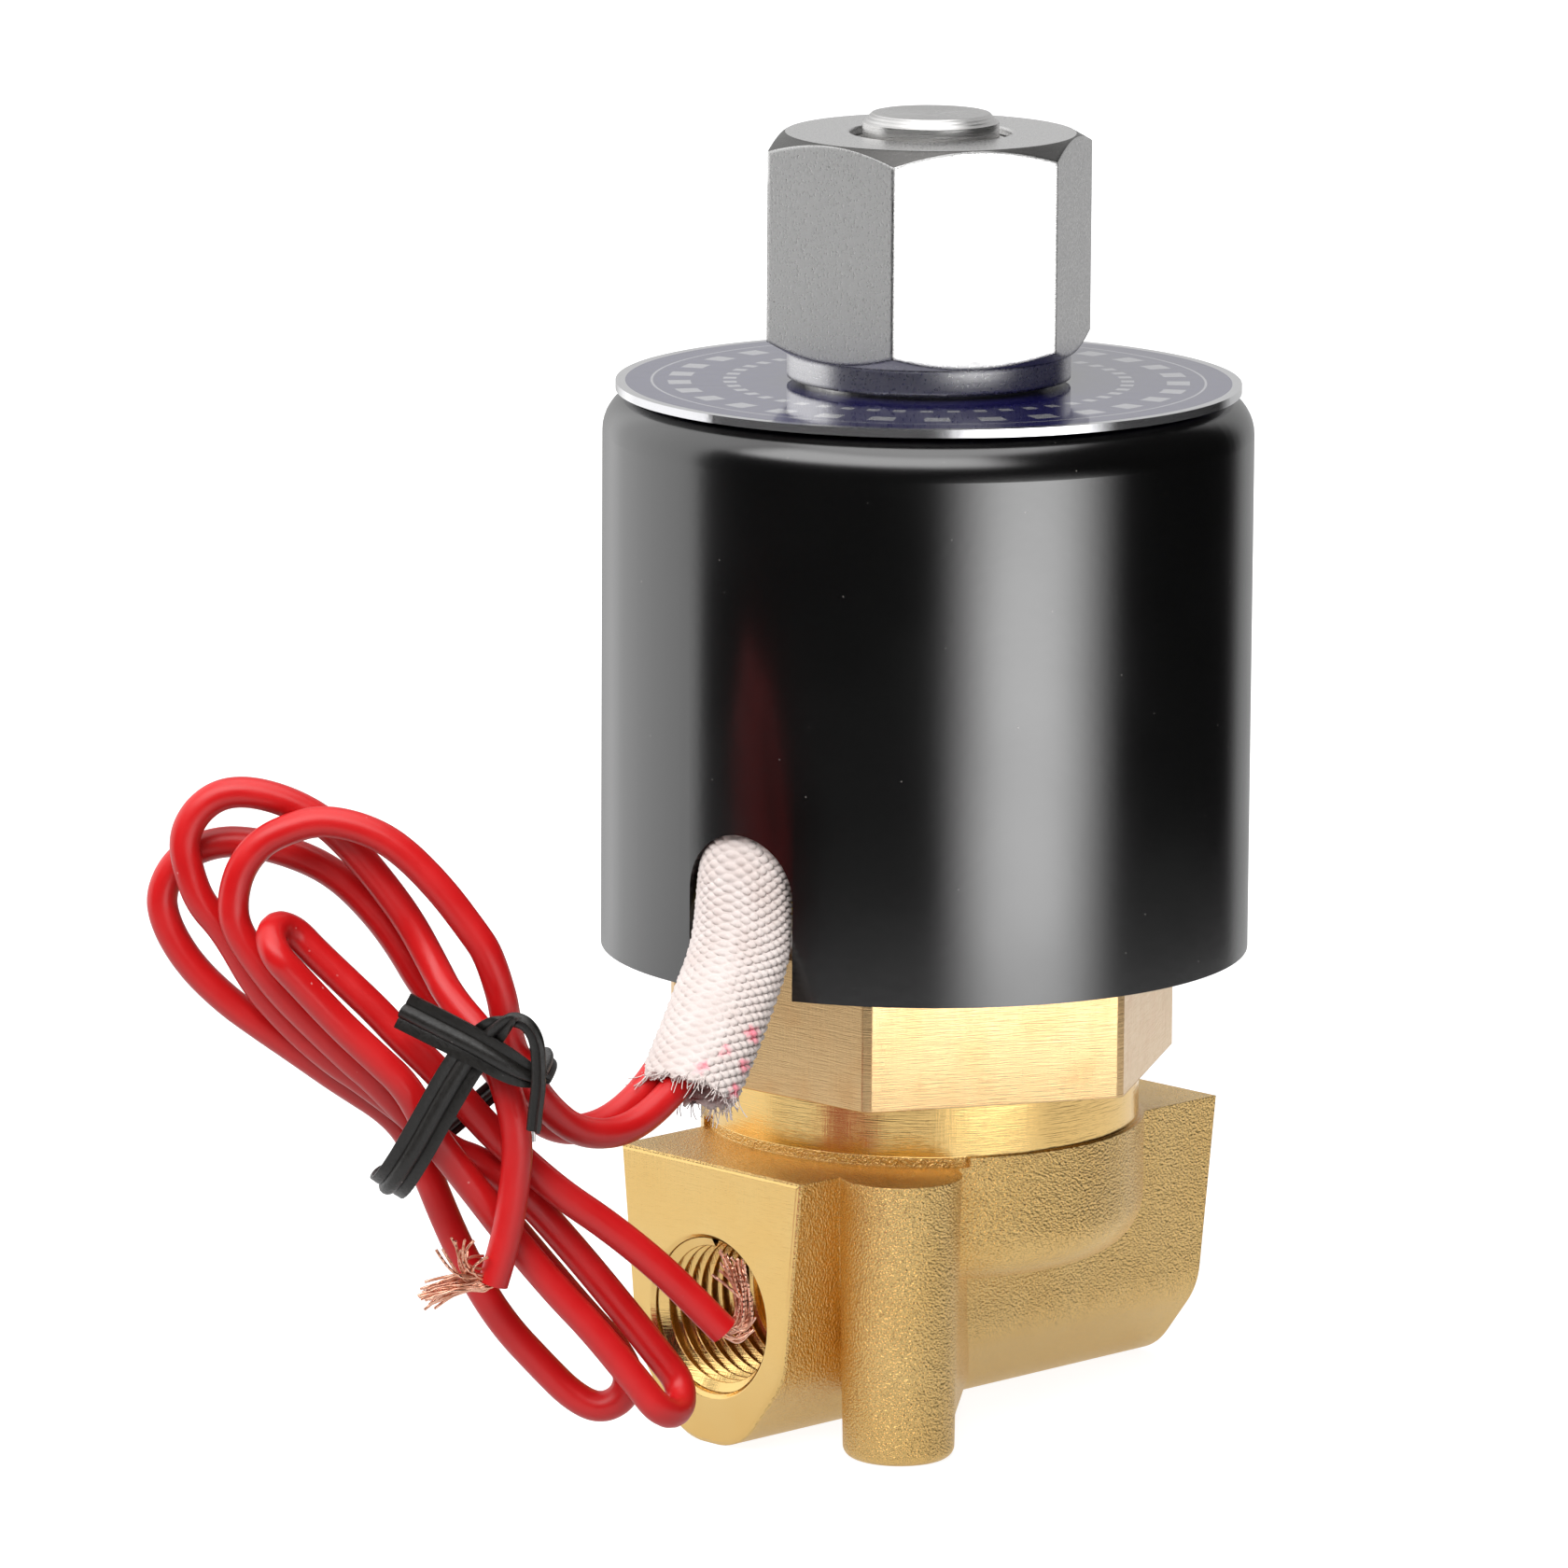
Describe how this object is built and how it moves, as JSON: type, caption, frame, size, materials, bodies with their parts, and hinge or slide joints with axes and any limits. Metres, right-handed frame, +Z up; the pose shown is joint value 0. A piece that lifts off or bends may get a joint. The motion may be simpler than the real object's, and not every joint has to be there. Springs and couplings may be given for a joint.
{
  "type": "solenoid valve",
  "caption": "Direct-acting two-way solenoid valve: forged brass body with threaded ports, hexagon bonnet, round black coil held by a plated nut, and two tied flying leads.",
  "frame": {"origin": "on the stem's axis, in the plane of the two pegs' feet", "axes": "+Z up the stem towards the nut, +X out of the outlet port, -X out of the inlet port"},
  "size_m": [0.076, 0.04, 0.0804],
  "materials": {
    "forged_brass": "blasted, with milled and turned faces",
    "turned_brass": "machined satin",
    "seal_rubber": "matte",
    "stainless": "machined",
    "spring_steel": "bright wire",
    "nickel_plate": "bright nickel",
    "plated_steel": "zinc plated",
    "black_enamel": "gloss black",
    "bobbin_nylon": "moulded",
    "copper": "bare and enamelled copper",
    "tape": "polyester film",
    "label_print": "glossy dark blue print with a bare rim",
    "glass_sleeving": "braided glass fibre",
    "red_insulation": "smooth",
    "tie_plastic": "ribbed"
  },
  "bodies": {
    "valve": {"valve_body": "forged_brass", "bonnet": "turned_brass", "bonnet_seal": "seal_rubber", "guide_tube": "stainless", "fixed_core": "stainless", "shading_ring": "copper", "top_nut": "nickel_plate"},
    "coil": {"coil_housing": "black_enamel", "coil_base_plate": "plated_steel", "lower_flux_ring": "plated_steel", "upper_flux_ring": "plated_steel", "bobbin": "bobbin_nylon", "winding": "copper", "winding_tape": "tape", "lead_splices": "copper", "label_disc": "label_print", "spring_washer": "plated_steel", "lead_sleeve": "glass_sleeving", "lead_a": "red_insulation", "lead_b": "red_insulation", "lead_parcel": "red_insulation", "tail_a": "red_insulation", "tail_b": "red_insulation", "strands_a": "copper", "strands_b": "copper", "twist_tie": "tie_plastic"},
    "armature": {"plunger": "stainless", "plunger_disc": "seal_rubber", "return_spring": "spring_steel"}
  },
  "joints": [
    {"name": "coil_swivel", "type": "hinge", "parent": "valve", "child": "coil", "pos_m": [0, 0, 0.0288], "axis": [0, 0, 1], "continuous": true},
    {"name": "plunger_lift", "type": "slide", "parent": "valve", "child": "armature", "axis": [0, 0, 1], "range_m": [0, 0.0012], "stiffness_N_per_m": 400, "springref_m": -0.006, "deforming": ["return_spring"]}
  ]
}
